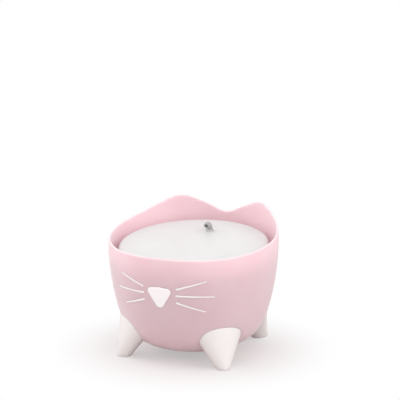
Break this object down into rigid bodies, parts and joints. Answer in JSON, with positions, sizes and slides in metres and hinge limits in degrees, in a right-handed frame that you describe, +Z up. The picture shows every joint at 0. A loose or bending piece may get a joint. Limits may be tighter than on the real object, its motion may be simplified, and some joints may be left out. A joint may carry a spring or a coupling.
{
  "type": "pet water fountain",
  "caption": "Cat-eared pet water fountain: a bowl on paws with a lift-out pump, riser tube, filter tray, filter, sloping cover and turning spout.",
  "frame": {"origin": "on the floor under the vertical axis of the bowl", "axes": "+Z up; -Y is the side with the nose, +Y the side with the ears and the cord duct; +X is to the right for someone who looks at the nose"},
  "size_m": [0.2, 0.2, 0.166],
  "materials": {
    "pink_plastic": "satin",
    "white_trim": "satin",
    "paw_white": "satin",
    "pad_rubber": "matte",
    "white_plastic": "satin",
    "collar_white": "satin",
    "filter_film": "thin non-woven film",
    "carbon_medium": "pouch of dark granules",
    "resin_medium": "pouch of pale granules",
    "soft_tube": "translucent, soft",
    "grey_plastic": "satin",
    "pump_plastic": "satin",
    "pump_white": "satin",
    "steel": "plain",
    "dial_grey": "matte",
    "impeller_red": "gloss",
    "magnet_black": "matte",
    "suction_rubber": "soft, translucent",
    "gland_rubber": "matte"
  },
  "bodies": {
    "reservoir": {"reservoir_bowl": "pink_plastic", "nose_inlay": "white_trim", "whisker_inlays": "white_trim", "front_left_paw": "paw_white", "front_right_paw": "paw_white", "rear_left_paw": "paw_white", "rear_right_paw": "paw_white", "paw_pads": "pad_rubber", "cord_duct": "pink_plastic", "cord_grommet": "pad_rubber"},
    "pump": {"pump_housing": "pump_plastic", "pump_faceplate": "pump_white", "impeller_cover": "pump_white", "door_pin": "steel", "impeller_shaft": "steel", "suction_feet": "suction_rubber", "cord_gland": "gland_rubber"},
    "pump_door": {"pump_front_door": "pump_white"},
    "dial": {"flow_dial": "dial_grey"},
    "rotor": {"impeller": "impeller_red", "rotor_magnet": "magnet_black"},
    "riser": {"riser_tube": "soft_tube"},
    "tray": {"filter_tray": "white_plastic", "tube_collar": "collar_white"},
    "filter": {"filter_film": "filter_film", "carbon_pods": "carbon_medium", "resin_pods": "resin_medium"},
    "cover": {"top_cover": "white_plastic"},
    "spout_foot": {"spout_sleeve": "soft_tube"},
    "nozzle": {"spout": "grey_plastic"}
  },
  "joints": [
    {"name": "pump_lift", "type": "slide", "parent": "reservoir", "child": "pump", "axis": [0, 0, 1], "range_m": [0, 0.1135]},
    {"name": "tube_lift", "type": "slide", "parent": "pump", "child": "riser", "axis": [0, 0, 1], "range_m": [0, 0.0195]},
    {"name": "tray_lift", "type": "slide", "parent": "riser", "child": "tray", "axis": [0, 0, 1], "range_m": [0, 0.0161]},
    {"name": "filter_lift", "type": "slide", "parent": "tray", "child": "filter", "axis": [0, 0, 1], "range_m": [0, 0.0544]},
    {"name": "cover_lift", "type": "slide", "parent": "filter", "child": "cover", "axis": [0, 0, 1], "range_m": [0, 0.0061]},
    {"name": "spout_lift", "type": "slide", "parent": "cover", "child": "spout_foot", "axis": [0, 0, 1], "range_m": [0, 0.0261]},
    {"name": "spout_turn", "type": "hinge", "parent": "spout_foot", "child": "nozzle", "pos_m": [0, 0.048, 0.13], "axis": [0, 0, 1], "continuous": true},
    {"name": "door_hinge", "type": "hinge", "parent": "pump", "child": "pump_door", "pos_m": [-0.02397, 0.02403, 0.0445], "axis": [-0.7071, 0.7071, 0], "range_deg": [0, 95]},
    {"name": "dial_turn", "type": "hinge", "parent": "pump", "child": "dial", "pos_m": [0, 0.048, 0.036], "axis": [-0.7071, -0.7071, 0], "range_deg": [-60, 60]},
    {"name": "impeller_spin", "type": "hinge", "parent": "pump", "child": "rotor", "pos_m": [0, 0.048, 0.036], "axis": [-0.7071, -0.7071, 0], "continuous": true}
  ]
}
